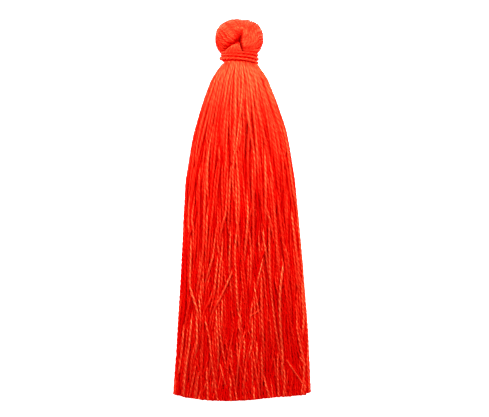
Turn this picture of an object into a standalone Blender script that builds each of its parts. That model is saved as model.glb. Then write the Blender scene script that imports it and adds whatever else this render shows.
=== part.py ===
"""A silk tassel, lying on its back: a hank of thread folded into a round head, a bound neck and a skirt.

Frame: +Y runs from the cut ends to the head, +X across, +Z up. The origin is under the middle of the
part's box, on the surface that the tassel lies on. Sizes are in millimetres until the meshes are made.
"""
import math
import random
from collections import namedtuple

import bmesh
import bpy
from mathutils import noise
from mathutils import Vector
from mathutils.geometry import delaunay_2d_cdt

MM = 0.001
SEED = 11

# ---------------------------------------------------------------- driving sizes, mm
CROWN_Y = 39.7            # top of the head
HEAD_Y = 35.45            # widest place of the head
HEAD_HALF_WIDTH = 5.1
HEAD_HALF_DEPTH = 4.62
HEAD_FLAT = 0.14          # how much of the ball its flat spot takes off
HEAD_BLUNTNESS = 2.5      # exponent of the crown's superellipse, 2 is a plain ellipse
HEAD_BELOW = 4.6          # half height of the ellipse under the widest place
HEAD_X = -0.42            # the head sits a little to the left of the skirt's middle

AXIS_Z = HEAD_HALF_DEPTH - HEAD_FLAT    # height of the head's and the neck's middle
CLEARANCE = 0.3           # between the hank and the binding

WAIST_TOP_Y = 32.8        # the neck, where the binding lies
WAIST_LOW_Y = 30.05
WAIST_RADIUS = 3.1
WAIST_TILT = 0.035        # the neck and its turns drop towards +X, mm a mm

TURN_THICK = 0.6          # the binding cord
TURN_HEIGHT = 0.5
TURN_PITCH = 0.62
TURN_TOP_Y = 32.3         # where a turn that began on the left would start
TURN_FIRST = 0.15         # in turns, from the left side over the front
TURN_LAST = 2.75
TWIST_PITCH = 1.7         # one full turn of the cord's two plies
TWIST_DEPTH = 0.16        # share of the cord's radius that the plies stand out
TWIST_STEPS = 8           # sections in one full turn
TWIST_SIDES = 6
TAIL_THICK = 0.3          # the binding's tail, spread over the front of the head
TAIL_BED = 0.55           # how deep the head's threads give way under it
TAIL_BED_MARGIN = 0.6     # how much wider than the tail its bed is
TAIL_ROUND = 1.12         # how much wider than deep the head is

GROOVE_X = 0.25           # the fold line between the head's two lobes
GROOVE_DEPTH = 0.28
GROOVE_WIDTH = 0.75
EYE_X = 0.0               # the slit that the fold leaves open
EYE_Y = 35.2
EYE_HALF_WIDTH = 0.42
EYE_HALF_HEIGHT = 1.55
EYE_DEPTH = 2.1

ROUND_POINTS = 44         # points round the head and the neck
ROUND_CROWDING = 0.6      # how much closer they stand on the front, where the eye is
HEAD_STEP_DEG = 7.0       # latitude between the head's rings

STRAND_COLUMNS = 33       # strands side by side in the lowest layer of the skirt
STRAND_LAYERS = 7         # layers on top of each other in the middle
STRAND_CREST = 0.45       # exponent of the skirt's domed top, 0.5 is a plain oval
STRAND_LEAST = 0.35       # share of a layer that a strand needs under the domed top
THIN_EDGE = 0.25          # share of the crest's height at which the skirt's sides end
ROOT_REACH = 0.965        # share of the shoulder's end that the roots take up
ROOT_DRAWN_IN = 0.022     # and how much less of it each higher layer does
ROOT_GAP = 0.07           # between strands where they leave the shoulder
STEEP_GAP = 2.5           # how much wider the layers' gaps get at the steep sides
TIP_GAP = 0.12            # and between the layers at the cut ends
NEIGHBOUR_GAP_LEAST = 0.10        # between neighbours in a layer at the cut ends
NEIGHBOUR_GAP_MOST = 0.16
LOCK_GAP = 0.55           # and where one lock of strands parts from the next
LOCK_SPLIT = 0.22         # how often that is
STRAND_UNEVEN = 0.15      # how much thicker or thinner than the rest a strand may be
CUT_Y = -40.05            # cut end of the middle strands
CUT_RISE = 1.45           # the outer strands, cut to the same length, end this much higher
CUT_TILT = 0.024          # the cut rises towards +X, mm a mm
CUT_UNEVEN = 0.25         # most that a strand ends short
SWAY_SHIFT = 0.5          # slow wave that all the strands share
SWAY_LENGTH = 17.0        # about how long one of its bends is
SWAY_WIDTH = 5.0          # and how wide

# The shoulder under the binding, down to the level where the strands part.
Ring = namedtuple("Ring", "y centre_x half_width z_low z_high")
SHOULDER = [
    Ring(y=29.75, centre_x=-0.40, half_width=4.10, z_low=0.95, z_high=7.95),
    Ring(y=28.90, centre_x=-0.40, half_width=4.75, z_low=0.70, z_high=8.08),
    Ring(y=27.80, centre_x=-0.40, half_width=5.42, z_low=0.48, z_high=8.12),
    Ring(y=26.60, centre_x=-0.40, half_width=6.05, z_low=0.32, z_high=8.10),
]

# The binding's tail from the eye to the top turn: radius is that of its underside about the neck's axis.
Tail = namedtuple("Tail", "y middle_x half_width radius")
TAIL = [
    Tail(y=34.70, middle_x=-0.10, half_width=0.15, radius=4.22),
    Tail(y=34.20, middle_x=-0.45, half_width=0.38, radius=4.27),
    Tail(y=33.60, middle_x=-1.00, half_width=0.80, radius=4.15),
    Tail(y=33.05, middle_x=-1.40, half_width=1.28, radius=3.90),
    Tail(y=32.60, middle_x=-1.55, half_width=1.50, radius=3.68),
    Tail(y=32.20, middle_x=-1.55, half_width=1.45, radius=3.55),
]

# The skirt's outline and thickness at its sections, roots first. flatness 0 is a full oval section,
# and 1 is flat below, as loose strands lie on a surface.
Skirt = namedtuple("Skirt", "y centre_x half_width z_high flatness")
SKIRT = [
    Skirt(y=26.60, centre_x=-0.40, half_width=6.05, z_high=8.10, flatness=0.00),
    Skirt(y=22.60, centre_x=-0.42, half_width=7.75, z_high=7.95, flatness=0.45),
    Skirt(y=16.20, centre_x=-0.15, half_width=9.75, z_high=7.35, flatness=0.90),
    Skirt(y=6.00, centre_x=-0.22, half_width=11.45, z_high=6.55, flatness=1.00),
    Skirt(y=-12.00, centre_x=0.05, half_width=12.80, z_high=5.55, flatness=1.00),
    Skirt(y=CUT_Y, centre_x=0.10, half_width=14.65, z_high=4.80, flatness=1.00),
]


def clear_scene():
    for thing in list(bpy.data.objects):
        bpy.data.objects.remove(thing, do_unlink=True)


def silk(name, colour, roughness):
    """A soft red silk: colour is linear."""
    material = bpy.data.materials.new(name)
    material.use_nodes = True
    shader = material.node_tree.nodes["Principled BSDF"]
    shader.inputs["Base Color"].default_value = (*colour, 1.0)
    shader.inputs["Roughness"].default_value = roughness
    shader.inputs["Metallic"].default_value = 0.0
    return material


def add_object(name, mesh_in_mm, material):
    """Scale the finished bmesh to metres, face it outwards and put it in the scene."""
    bmesh.ops.recalc_face_normals(mesh_in_mm, faces=mesh_in_mm.faces)
    bmesh.ops.scale(mesh_in_mm, vec=Vector((MM, MM, MM)), verts=mesh_in_mm.verts)
    mesh = bpy.data.meshes.new(name)
    mesh_in_mm.to_mesh(mesh)
    mesh_in_mm.free()
    mesh.materials.append(material)
    mesh.shade_smooth()
    mesh.set_sharp_from_angle(angle=math.radians(40))
    thing = bpy.data.objects.new(name, mesh)
    bpy.context.collection.objects.link(thing)
    return thing


def bridge(mesh, lower, upper):
    """Quads between two closed rings of the same number of points."""
    count = len(lower)
    for i in range(count):
        j = (i + 1) % count
        mesh.faces.new((lower[i], lower[j], upper[j], upper[i]))


# ---------------------------------------------------------------- the hank's backing
def round_angles():
    """Angles round the hank, crowded towards +Z by a smooth warp."""
    even = [math.tau * i / ROUND_POINTS for i in range(ROUND_POINTS)]
    return [angle + ROUND_CROWDING * math.cos(angle) for angle in even]


def head_profile():
    """(y, half width, half depth) down the head, from its first ring to the top of the waist."""
    rings = []
    degrees = 90.0 - 0.5 * HEAD_STEP_DEG
    power = 2.0 / HEAD_BLUNTNESS
    while True:
        latitude = math.radians(degrees)
        if degrees >= 0.0:
            y = HEAD_Y + (CROWN_Y - HEAD_Y) * math.sin(latitude) ** power
            spread = math.cos(latitude) ** power
        else:
            y = HEAD_Y + HEAD_BELOW * math.sin(latitude)
            spread = math.cos(latitude)
        if y < WAIST_TOP_Y + CLEARANCE:
            return rings
        rings.append((y, HEAD_HALF_WIDTH * spread, HEAD_HALF_DEPTH * spread))
        degrees -= HEAD_STEP_DEG


def tail_bed(x, y):
    """Depth of the bed under the binding's tail, which starts in the eye and widens down to the neck."""
    first, last = TAIL[0], TAIL[-2]
    share = min(1.0, (first.y - y) / (first.y - last.y))
    if share <= 0.0:
        return 0.0
    middle = first.middle_x + (last.middle_x - first.middle_x) * share
    half_width = first.half_width + (last.half_width - first.half_width) * share + TAIL_BED_MARGIN
    return TAIL_BED * math.exp(-((x - middle) / half_width) ** 4)


def dent(x, y, above):
    """How far the fold line, the eye and the tail press the head in, at a place on its front."""
    if above <= 0.0:
        return 0.0
    fold = GROOVE_DEPTH * math.exp(-((x - GROOVE_X) / GROOVE_WIDTH) ** 2)
    across = (x - EYE_X) / EYE_HALF_WIDTH
    along = (y - EYE_Y) / EYE_HALF_HEIGHT
    eye = EYE_DEPTH * math.exp(-(across * across + along ** 4))
    return max(fold + eye, tail_bed(x, y)) * min(1.0, above)


def body_ring(mesh, y, centre_x, half_width, half_depth, centre_z, tilt, dented=False):
    points = []
    for angle in round_angles():
        x = half_width * math.cos(angle)
        z = half_depth * math.sin(angle)
        if dented:
            z -= dent(centre_x + x, y, z / half_depth)
        place = Vector((centre_x + x, y - tilt * x, max(0.0, centre_z + z)))
        points.append(mesh.verts.new(place))
    return points


def build_backing(mesh):
    """Head, waist and shoulder. Returns the ring that the strands grow inside."""
    crown = mesh.verts.new((HEAD_X, CROWN_Y, AXIS_Z))
    rings = []
    for y, half_width, half_depth in head_profile():
        rings.append(body_ring(mesh, y, HEAD_X, half_width, half_depth, AXIS_Z, 0.0, dented=True))
    for y in (WAIST_TOP_Y, WAIST_LOW_Y):
        rings.append(body_ring(mesh, y, HEAD_X, WAIST_RADIUS, WAIST_RADIUS, AXIS_Z, WAIST_TILT))
    for row, ring in enumerate(SHOULDER):
        fade = 1.0 - (row + 1) / len(SHOULDER)
        half_depth = (ring.z_high - ring.z_low) / 2
        centre_z = (ring.z_high + ring.z_low) / 2
        rings.append(body_ring(mesh, ring.y, ring.centre_x, ring.half_width, half_depth, centre_z,
                               WAIST_TILT * fade))
    first = rings[0]
    for i, point in enumerate(first):
        mesh.faces.new((crown, point, first[(i + 1) % len(first)]))
    for upper, lower in zip(rings, rings[1:]):
        bridge(mesh, lower, upper)
    return rings[-1]


# ---------------------------------------------------------------- the skirt
def crest(across):
    """Height of the skirt's domed top at across, 0 to 1 over its half width, as a share of the middle's."""
    return max(0.0, 1.0 - across * across) ** STRAND_CREST


def layer_reach(layer):
    """How far out a layer goes under the domed top, as a share of the half width."""
    height = max(THIN_EDGE, (layer + STRAND_LEAST) / STRAND_LAYERS)
    return math.sqrt(1.0 - height ** (1.0 / STRAND_CREST))


def sway(x, y, share):
    """Sideways wave that all the strands share, growing towards the ends."""
    return SWAY_SHIFT * noise.noise((x / SWAY_WIDTH, y / SWAY_LENGTH, SEED)) * share * share


def place_point(section, share, across, height):
    """A point of the skirt's section, from its shares of the half width and of the crest's height."""
    shoulder = SHOULDER[-1]
    reach = ROOT_REACH + (1.0 / layer_reach(0) - ROOT_REACH) * share
    rise = math.sqrt(1.0 - across * across)
    low = (shoulder.z_low - shoulder.z_high) / 2 * ROOT_REACH * rise
    high = (section.z_high - (shoulder.z_low + shoulder.z_high) / 2) * ROOT_REACH * rise
    middle = (shoulder.z_low + shoulder.z_high) / 2
    oval = middle + low + (high - low) * min(1.0, height / crest(across))
    z = oval + (section.z_high * height - oval) * section.flatness
    x = section.centre_x + section.half_width * reach * across
    return Vector((x + sway(x, section.y, share), section.y, z))


def tip_gap(chance):
    """Gap between two neighbours of a layer at the cut ends."""
    if chance.random() < LOCK_SPLIT:
        return LOCK_GAP
    return chance.uniform(NEIGHBOUR_GAP_LEAST, NEIGHBOUR_GAP_MOST)


def plan_layer(layer, chance):
    """Left and right edge of each strand of a layer, as (at the root, at the tip) pairs of shares."""
    reach = layer_reach(layer)
    count = round(STRAND_COLUMNS * reach)
    root_reach = reach * (1.0 - ROOT_DRAWN_IN * layer)
    root_width = 2.0 * root_reach / count
    root_gap = ROOT_GAP / SKIRT[0].half_width
    widths = [chance.uniform(1.0 - STRAND_UNEVEN, 1.0 + STRAND_UNEVEN) for _ in range(count)]
    gaps = [tip_gap(chance) / SKIRT[-1].half_width for _ in range(count)]
    shrink = (2.0 * reach - sum(gaps)) / sum(widths)
    edges = []
    tip = -reach
    for number, (width, gap) in enumerate(zip(widths, gaps)):
        root = -root_reach + root_width * number
        left = (root + root_gap / 2, tip + gap / 2)
        tip += width * shrink + gap
        right = (root + root_width - root_gap / 2, tip - gap / 2)
        edges.append((left, right))
    return edges


def strand_sections(layer, edges, uneven):
    """The four corners of one strand at each section of the skirt, roots first."""
    sections = []
    last = len(SKIRT) - 1
    inner = min(abs(share) for edge in edges for share in edge)
    covered = layer + 1 < STRAND_LAYERS and inner < layer_reach(layer + 1) + ROOT_GAP / SKIRT[0].half_width
    for number, section in enumerate(SKIRT):
        share = number / last
        gap = (ROOT_GAP + (TIP_GAP - ROOT_GAP) * share) / section.z_high
        gap *= 1.0 + STEEP_GAP * inner ** 6
        bottom = layer / STRAND_LAYERS
        ceiling = (layer + 1.0) / STRAND_LAYERS - gap if covered else 1.0
        left, right = (root + (tip - root) * share for root, tip in edges)
        corners = [place_point(section, share, left, bottom),
                   place_point(section, share, right, bottom),
                   place_point(section, share, right, min(ceiling, crest(right))),
                   place_point(section, share, left, min(ceiling, crest(left)))]
        if number == last:
            middle = (left + right) / 2
            for corner in corners:
                corner.y += CUT_RISE * middle * middle + CUT_TILT * corner.x + uneven
        sections.append(corners)
    return sections


def plan_strands(chance):
    """Every strand as its four-cornered sections."""
    strands = []
    for layer in range(STRAND_LAYERS):
        for edges in plan_layer(layer, chance):
            strands.append(strand_sections(layer, edges, chance.uniform(0.0, CUT_UNEVEN)))
    return strands


def close_roots(mesh, rim, feet):
    """Fill the flat face between the shoulder's rim and the strands' feet."""
    verts = rim + [vert for foot in feet for vert in foot]
    flat = [Vector((vert.co.x, vert.co.z)) for vert in verts]
    outline = [(i, (i + 1) % len(rim)) for i in range(len(rim))]
    owner = [-1] * len(rim)
    for number, foot in enumerate(feet):
        start = len(rim) + 4 * number
        outline += [(start + i, start + (i + 1) % 4) for i in range(4)]
        owner += [number] * 4
    points, _, faces, sources, _, _ = delaunay_2d_cdt(flat, outline, [], 1, 1e-6)
    if len(points) != len(verts):
        raise ValueError("the strands' feet meet each other or the rim")
    source = [found[0] for found in sources]
    for face in faces:
        corners = [source[i] for i in face]
        owners = {owner[i] for i in corners}
        if len(owners) == 1 and -1 not in owners:
            continue
        mesh.faces.new([verts[i] for i in corners])


def build_strands(mesh, rim, chance):
    feet = []
    strands = plan_strands(chance)
    for sections in strands:
        rings = [[mesh.verts.new(corner) for corner in corners] for corners in sections]
        feet.append(rings[0])
        for upper, lower in zip(rings, rings[1:]):
            bridge(mesh, lower, upper)
        mesh.faces.new(rings[-1])
    close_roots(mesh, rim, feet)
    return len(strands)


def build_hank(material):
    mesh = bmesh.new()
    rim = build_backing(mesh)
    count = build_strands(mesh, rim, random.Random(SEED))
    bmesh.ops.triangulate(mesh, faces=mesh.faces)
    print("strands", count, "triangles", len(mesh.faces))
    return add_object("thread_hank", mesh, material)


# ---------------------------------------------------------------- the binding
def winding(turns):
    """Middle of the binding cord after so many turns, counted from the left over the front."""
    radius = WAIST_RADIUS + CLEARANCE + TURN_THICK / 2 * (1.0 + TWIST_DEPTH)
    angle = math.pi - math.tau * turns
    x = radius * math.cos(angle)
    y = TURN_TOP_Y - TURN_PITCH * turns - WAIST_TILT * x
    return Vector((HEAD_X + x, y, AXIS_Z + radius * math.sin(angle)))


def build_turns():
    """The wound cord: an oval section of two plies, turned step by step along the winding."""
    mesh = bmesh.new()
    length = (TURN_LAST - TURN_FIRST) * math.tau * (winding(0.5) - winding(0.0)).length / 2
    steps = round(length / TWIST_PITCH * TWIST_STEPS)
    rings = []
    for step in range(steps + 1):
        turns = TURN_FIRST + (TURN_LAST - TURN_FIRST) * step / steps
        middle = winding(turns)
        outwards = (middle - Vector((HEAD_X, middle.y, AXIS_Z))).normalized()
        along = Vector((0.0, 1.0, 0.0))
        twist = math.tau * step / TWIST_STEPS
        ring = []
        for side in range(TWIST_SIDES):
            angle = math.tau * side / TWIST_SIDES
            swell = 1.0 + TWIST_DEPTH * math.cos(2.0 * (angle - twist))
            out = outwards * (0.5 * TURN_THICK * swell * math.cos(angle))
            up = along * (0.5 * TURN_HEIGHT * swell * math.sin(angle))
            ring.append(mesh.verts.new(middle + out + up))
        rings.append(ring)
    for lower, upper in zip(rings, rings[1:]):
        bridge(mesh, lower, upper)
    mesh.faces.new(rings[0])
    mesh.faces.new(rings[-1])
    bmesh.ops.triangulate(mesh, faces=mesh.faces)
    return mesh


def build_tail():
    """The tail as a tapering strip of six-sided sections that lies round the front of the head."""
    mesh = bmesh.new()
    rings = []
    for row in TAIL:
        under = []
        over = []
        for side in (-1.0, 0.0, 1.0):
            x = row.middle_x + side * row.half_width
            for points, radius in ((under, row.radius), (over, row.radius + TAIL_THICK)):
                rise = math.sqrt(1.0 - ((x - HEAD_X) / (radius * TAIL_ROUND)) ** 2)
                points.append(mesh.verts.new((x, row.y, AXIS_Z + radius * rise)))
        rings.append(under + over[::-1])
    for lower, upper in zip(rings, rings[1:]):
        bridge(mesh, lower, upper)
    mesh.faces.new(rings[0])
    mesh.faces.new(rings[-1])
    bmesh.ops.triangulate(mesh, faces=mesh.faces)
    return mesh


def build_binding(material):
    binding = add_object("neck_wrap", build_turns(), material)
    tail = add_object("tail_form", build_tail(), material)
    tail.hide_render = True
    tail.display_type = "WIRE"
    joined = binding.modifiers.new("join_tail", "BOOLEAN")
    joined.operation = "UNION"
    joined.solver = "EXACT"
    joined.object = tail
    return binding


def main():
    clear_scene()
    build_hank(silk("hank_silk", (0.80, 0.030, 0.012), 0.45))
    build_binding(silk("binding_silk", (0.85, 0.040, 0.018), 0.42))


main()
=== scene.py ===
# %% [markdown]
# # A silk tassel, thread by thread
# The tassel lies on its back on a pale table. A hank of two-ply silk thread is folded over at
# the top, pressed into a ball, and bound below it with the same thread. Under the binding the
# threads fan out into a skirt that is trimmed to one gentle arc.
#
# The solids in the frame give the outer forms: `thread_hank` is the ball and skirt in one, and
# `neck_wrap` is the binding with its tucked tail. Everything visible is made again here as real
# thread, in place of those two solids, because a tassel looks like silk only when light can fall
# between its threads.

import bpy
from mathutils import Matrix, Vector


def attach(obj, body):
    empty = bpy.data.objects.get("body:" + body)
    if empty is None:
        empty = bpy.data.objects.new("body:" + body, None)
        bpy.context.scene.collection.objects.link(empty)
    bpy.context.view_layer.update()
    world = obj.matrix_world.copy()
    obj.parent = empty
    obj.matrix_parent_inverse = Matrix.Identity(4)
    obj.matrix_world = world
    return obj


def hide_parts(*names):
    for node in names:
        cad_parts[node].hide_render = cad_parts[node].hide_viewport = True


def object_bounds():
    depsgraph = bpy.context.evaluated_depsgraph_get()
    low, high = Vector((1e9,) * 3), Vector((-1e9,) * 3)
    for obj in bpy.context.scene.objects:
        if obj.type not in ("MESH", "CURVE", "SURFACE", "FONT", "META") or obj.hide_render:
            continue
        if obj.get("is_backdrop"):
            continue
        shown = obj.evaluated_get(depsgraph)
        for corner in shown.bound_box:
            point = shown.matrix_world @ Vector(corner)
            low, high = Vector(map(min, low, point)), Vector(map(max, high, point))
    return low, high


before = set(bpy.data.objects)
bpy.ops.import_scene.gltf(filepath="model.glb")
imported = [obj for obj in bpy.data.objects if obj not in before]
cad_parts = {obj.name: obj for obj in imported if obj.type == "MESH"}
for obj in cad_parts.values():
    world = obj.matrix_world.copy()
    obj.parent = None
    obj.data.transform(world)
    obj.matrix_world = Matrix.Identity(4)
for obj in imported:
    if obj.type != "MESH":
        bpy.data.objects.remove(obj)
cad_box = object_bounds()
print("frame nodes", sorted(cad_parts))

# %% [markdown]
# Lengths are written in millimetres, as a maker would give them, and are turned into Blender's
# metres only where a mesh is made. Threads are worked out as whole tables of numbers at once,
# because a loop in Python over a million faces would take minutes.

# %% Tools used all the way through
import math

import bpy
import numpy as np
from mathutils import Vector

MM = 0.001
TAU = 2 * math.pi
print("one millimetre is", MM, "m")

# %% [markdown]
# ## The camera
# It hangs over the middle of the tassel and looks straight down at the table, as for a catalogue
# picture. A long lens from a quarter of a metre keeps the widening of the near threads small.

# %% Hang the camera over the table
CAMERA_AT = (0.63, 0.21, 260.0)
LENS = 90.27

lens = bpy.data.cameras.new("overhead_camera")
lens.type = "PERSP"
lens.sensor_width = 36
lens.lens = LENS
lens.clip_start = 0.01
camera = bpy.data.objects.new("overhead_camera", lens)
camera.location = [value * MM for value in CAMERA_AT]
bpy.context.scene.collection.objects.link(camera)
bpy.context.scene.camera = camera
print("camera", round(camera.location.z, 3), "m above the table")

# %% [markdown]
# ## Shader arithmetic
# A finish is a recipe of nodes. `Wire` wraps one output socket, so that `1 - groove * 0.4` can be
# written as it would be for numbers, and each operator adds its own Math node. Every other node
# comes from `Recipe.node`.


# %% Wires and recipes
class Wire:
    """An output socket that takes part in Python arithmetic."""

    def __init__(self, recipe, socket):
        self.recipe = recipe
        self.socket = socket

    def __add__(self, other):
        return self.recipe.math("ADD", self, other)

    def __radd__(self, other):
        return self.recipe.math("ADD", other, self)

    def __sub__(self, other):
        return self.recipe.math("SUBTRACT", self, other)

    def __rsub__(self, other):
        return self.recipe.math("SUBTRACT", other, self)

    def __mul__(self, other):
        return self.recipe.math("MULTIPLY", self, other)

    def __rmul__(self, other):
        return self.recipe.math("MULTIPLY", other, self)

    def __pow__(self, other):
        return self.recipe.math("POWER", self, other)


class Recipe:
    """One finish, or the light of the room, and the nodes that it is made of."""

    def __init__(self, name, kind="Material"):
        self.kind = kind
        self.made = (bpy.data.worlds if kind == "World" else bpy.data.materials).new(name)
        self.made.use_nodes = True
        self.tree = self.made.node_tree
        self.tree.nodes.clear()

    def node(self, kind, settings=None, inputs=None, output=0):
        made = self.tree.nodes.new(kind)
        for key, value in (settings or {}).items():
            if key == "stops":
                ramp = made.color_ramp
                while len(ramp.elements) < len(value):
                    ramp.elements.new(0.5)
                for element, (place, colour) in zip(ramp.elements, value):
                    element.position = place
                    element.color = (*colour, 1)
            else:
                setattr(made, key, value)
        for key, value in (inputs or {}).items():
            if isinstance(value, Wire):
                self.tree.links.new(value.socket, made.inputs[key])
            else:
                made.inputs[key].default_value = value
        return Wire(self, made.outputs[output]) if made.outputs else made

    def math(self, operation, *values):
        return self.node("ShaderNodeMath", {"operation": operation}, dict(enumerate(values)))

    def mixed(self, factor, first, second):
        inputs = {0: factor, 6: first, 7: second}
        return self.node("ShaderNodeMix", {"data_type": "RGBA"}, inputs, output=2)

    def finish(self, shader):
        self.node(f"ShaderNodeOutput{self.kind}", None, {"Surface": shader})
        return self.made


print("a wire knows", [name for name in vars(Wire) if name.startswith("__r")], "for numbers that come first")

# %% [markdown]
# ## Silk
# Two plies are twisted into one thread, and each ply is a bundle of long smooth filaments. A
# thread that lies open looks orange and shines, and one that is shut in by its neighbours is a
# deep red. Light that bounces from silk to silk gives part of that. The rest is painted light and
# shade: a tint that is worked out from where the threads lie and is stored with each of them, which
# mixes a lit orange copy of the dye with its deep red.
#
# The recipe adds what is finer than the mesh: filament streaks along each ply, painted shade in
# the seam where the plies meet, and slow changes along the thread. The dye is one shader and the
# golden gloss another. The factor that mixes them is high only on the crests of threads that the
# painted tint marks as lit.
#
# Three maps travel with each thread. `Ply` holds the place round the twisted plies and the way
# along the thread. `Lot` holds the tint, which carries the painted light and shade, and a number of
# the thread's own, which keeps its streaks apart from its neighbours'. `OFBake` gives each thread its
# own strip of an image.


# %% The silk finish
SILK_GOLD = (1.0, 0.20, 0.075)
# SEAM_SHADE is how far the painted shade in the ply seams darkens the red.
SEAM_SHADE = 0.82
STREAKS_ROUND = 2.6
STREAKS_ALONG = 0.95
SLOW_ALONG = 0.12
RIDGE_BREAK = 3.4
PAINTED_NECK_LIGHT_FADE = 0.003


def silk(name, red, lit_orange, shine, seam_shade_depth, fibre_height, quiet, painted_neck_light=0.0):
    """Twisted silk: a deep red body painted toward a lit orange where the stored tint says light falls,
    and a golden gloss on the crests of those threads.

    quiet is how many millimetres pass before threads differ fully. painted_neck_light is painted light:
    it draws the first stretch of each thread brighter, and fades along it.
    """
    recipe = Recipe(name)
    ply = recipe.node("ShaderNodeUVMap", {"uv_map": "Ply"})
    lot = recipe.node("ShaderNodeUVMap", {"uv_map": "Lot"})
    round_ply = recipe.node("ShaderNodeSeparateXYZ", None, {0: ply})
    along = recipe.node("ShaderNodeSeparateXYZ", None, {0: ply}, output=1)
    tint = recipe.node("ShaderNodeSeparateXYZ", None, {0: lot})
    skein = recipe.node("ShaderNodeSeparateXYZ", None, {0: lot}, output=1)
    angle = round_ply * TAU
    streak_at = recipe.node("ShaderNodeCombineXYZ", None, {
        0: recipe.math("COSINE", angle) * STREAKS_ROUND,
        1: recipe.math("SINE", angle) * STREAKS_ROUND,
        2: along * STREAKS_ALONG + skein * 40,
    })
    streaks = recipe.node("ShaderNodeTexNoise", None, {
        "Vector": streak_at, "Scale": 1.0, "Detail": 3.0, "Roughness": 0.6,
    })
    twist = angle * 2 + streaks * RIDGE_BREAK - RIDGE_BREAK / 2
    ridge = recipe.math("COSINE", twist) * 0.5 + 0.5
    slow_at = recipe.node("ShaderNodeCombineXYZ", None, {0: along * SLOW_ALONG, 1: skein * 60})
    slow = recipe.node("ShaderNodeTexNoise", None, {
        "Vector": slow_at, "Scale": 1.0, "Detail": 1.0,
    })
    loose = recipe.math("MINIMUM", along * (0.12 / quiet) + 0.5, 1.0)
    # painted shade: the seam between the plies is drawn darker, and loses its gloss below.
    painted_seam_shade = (1 - ridge) ** 1.6 * loose * seam_shade_depth
    height = ridge * 0.4 + streaks
    bump = recipe.node("ShaderNodeBump", None, {
        "Strength": 0.5, "Distance": fibre_height * MM, "Height": height,
    })
    apart = recipe.math("MINIMUM", along * (1 / quiet), 1.0)
    # painted light and shade: the stored tint, with some noise, sets how far the body goes from the deep red
    # of shade to the lit orange.
    lift = (slow * 0.3 + streaks * 0.6 - 0.45) * apart + tint * 0.65 + 0.34
    # painted light: the first stretch below the neck is drawn brighter, fading along the thread.
    lift = lift + recipe.math("MAXIMUM", along * -PAINTED_NECK_LIGHT_FADE + painted_neck_light, 0.0)
    lift = recipe.math("MAXIMUM", recipe.math("MINIMUM", lift * 2.4 - 1.1, 1.0), 0.0)
    shaded = recipe.mixed(painted_seam_shade, (*red, 1), (*[SEAM_SHADE * value for value in red], 1))
    body = recipe.mixed(lift * (1 - painted_seam_shade), shaded, (*lit_orange, 1))
    dyed = recipe.node("ShaderNodeBsdfPrincipled", None, {
        "Base Color": body, "Roughness": 0.6, "Specular IOR Level": 0.0, "Normal": bump,
    })
    gloss = recipe.node("ShaderNodeBsdfPrincipled", None, {
        "Base Color": (*SILK_GOLD, 1), "Metallic": 1.0, "Roughness": 0.36, "Normal": bump,
    })
    crest = (ridge - 0.5) * loose * 0.6 + 0.50 + loose * 0.45
    # The gloss share follows the painted tint too, so it shows mostly on threads painted as lit.
    lit = lift * lift * 0.95 + 0.05
    share = crest * lit * (streaks * 3.0 - 0.5) * shine
    share = share * (1 - painted_seam_shade)
    shader = recipe.node("ShaderNodeMixShader", None, {0: share, 1: dyed, 2: gloss})
    return recipe.finish(shader)


# Two copies of one dye: the deep red stands for silk in shade and the orange for silk that light falls on;
# the tint mixes them as painted light and shade.
SILK_RED = (0.73, 0.0008, 0.0005)
SILK_LIT_ORANGE = (0.98, 0.053, 0.023)

skirt_silk = silk("skirt_silk", SILK_RED, SILK_LIT_ORANGE, 0.50, 0.6, 0.03, 14.0, 0.05)
ball_silk = silk("ball_silk", (0.66, 0.0007, 0.0005), SILK_LIT_ORANGE, 0.40, 0.4, 0.02, 0.1)
binding_silk = silk("binding_silk", SILK_RED, SILK_LIT_ORANGE, 0.34, 0.4, 0.02, 0.1)
# A darker, duller copy of the silk, used as painted shade for the threads and cores deep inside.
shaded_inner_silk = silk("shaded_inner_silk", (0.50, 0.0005, 0.0003), (0.60, 0.0006, 0.0004), 0.02, 0.5, 0.02, 0.1)
print("finishes", skirt_silk.name, ball_silk.name, binding_silk.name, shaded_inner_silk.name)

# %% [markdown]
# ## From a path to a thread
# A real thread is two plies laid round each other, so its outline swells and narrows twice a turn.
# A curve with a round bevel would be the quick way, but it gives a smooth tube without plies.
# Spinning the vertices with the twist would shear every face. It is steadier to leave eight
# columns of vertices straight and let the swelling walk round them, one column for each ring,
# with each face split along the ridge. A hidden stretch can then drop rings, so the inside of the
# hank costs little.

# %% Thread mesh
AROUND = 8
RING_STEP = 0.2
PLY_PITCH = AROUND * RING_STEP
PLY_SWELL = 0.12
STRIP_MARGIN = 0.06
STRIP_END = 0.004
CAP_ROOM = 0.003
columns = np.arange(AROUND)
column_angle = columns * TAU / AROUND


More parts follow.
